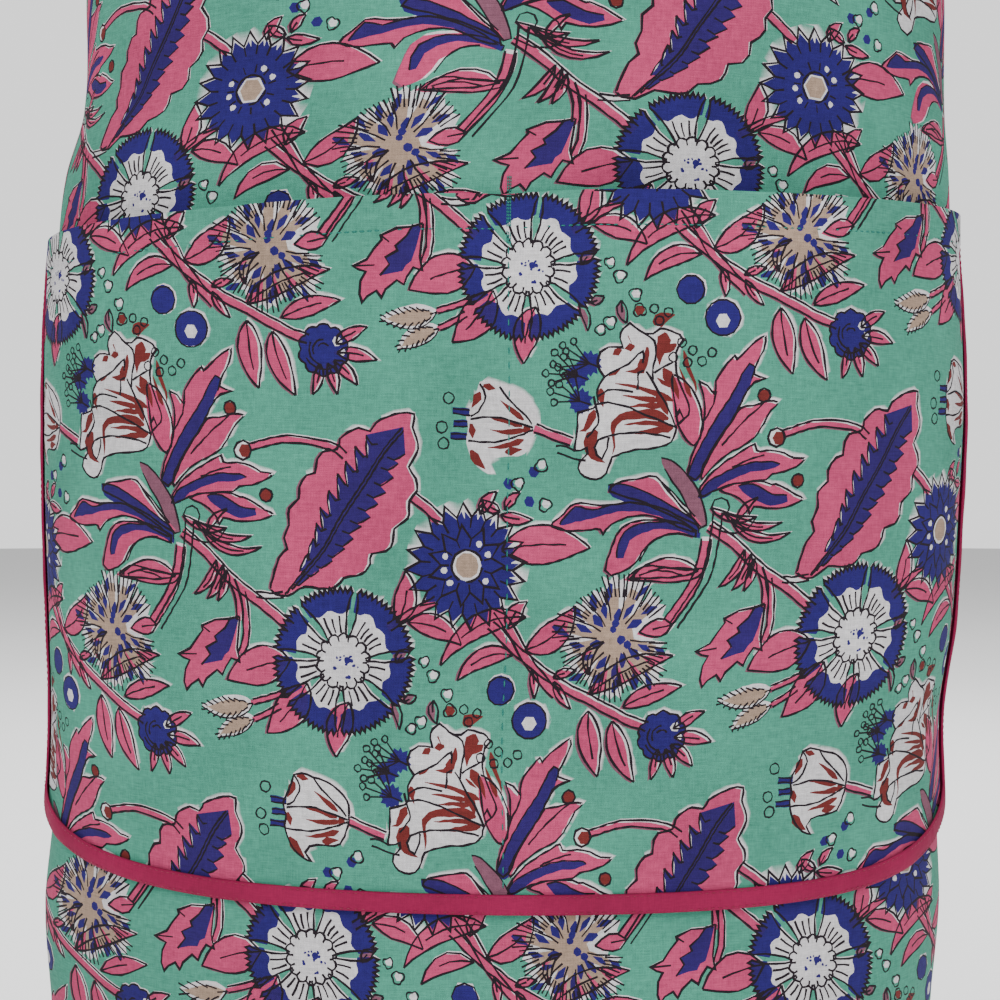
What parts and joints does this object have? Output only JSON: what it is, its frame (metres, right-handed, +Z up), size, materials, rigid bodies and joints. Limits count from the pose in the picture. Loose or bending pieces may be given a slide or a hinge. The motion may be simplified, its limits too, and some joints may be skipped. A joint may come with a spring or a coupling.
{
  "type": "bib apron",
  "caption": "Worn bib apron of floral block-printed cotton with a wide bound and divided front pocket, a neck loop and knotted waist ties.",
  "frame": {"origin": "middle of the nape, on the inner face of the neck strap, where the apron hangs on the wearer", "axes": "+Z up, +X to the wearer's left, -Y out of the apron's front; the hem is 915 mm below the origin"},
  "size_m": [0.3908, 0.2453, 0.9407],
  "materials": {
    "printed_cotton": "matte plain weave, printed",
    "binding_cotton": "matte plain weave",
    "strap_cotton": "matte plain weave"
  },
  "bodies": {
    "root": {"body_panel": "printed_cotton", "pocket": "printed_cotton", "pocket_binding": "binding_cotton", "neck_strap": "strap_cotton", "waist_tie_left": "strap_cotton", "waist_tie_right": "strap_cotton", "tie_knot": "strap_cotton", "tie_end_left": "strap_cotton", "tie_end_right": "strap_cotton"}
  },
  "joints": []
}
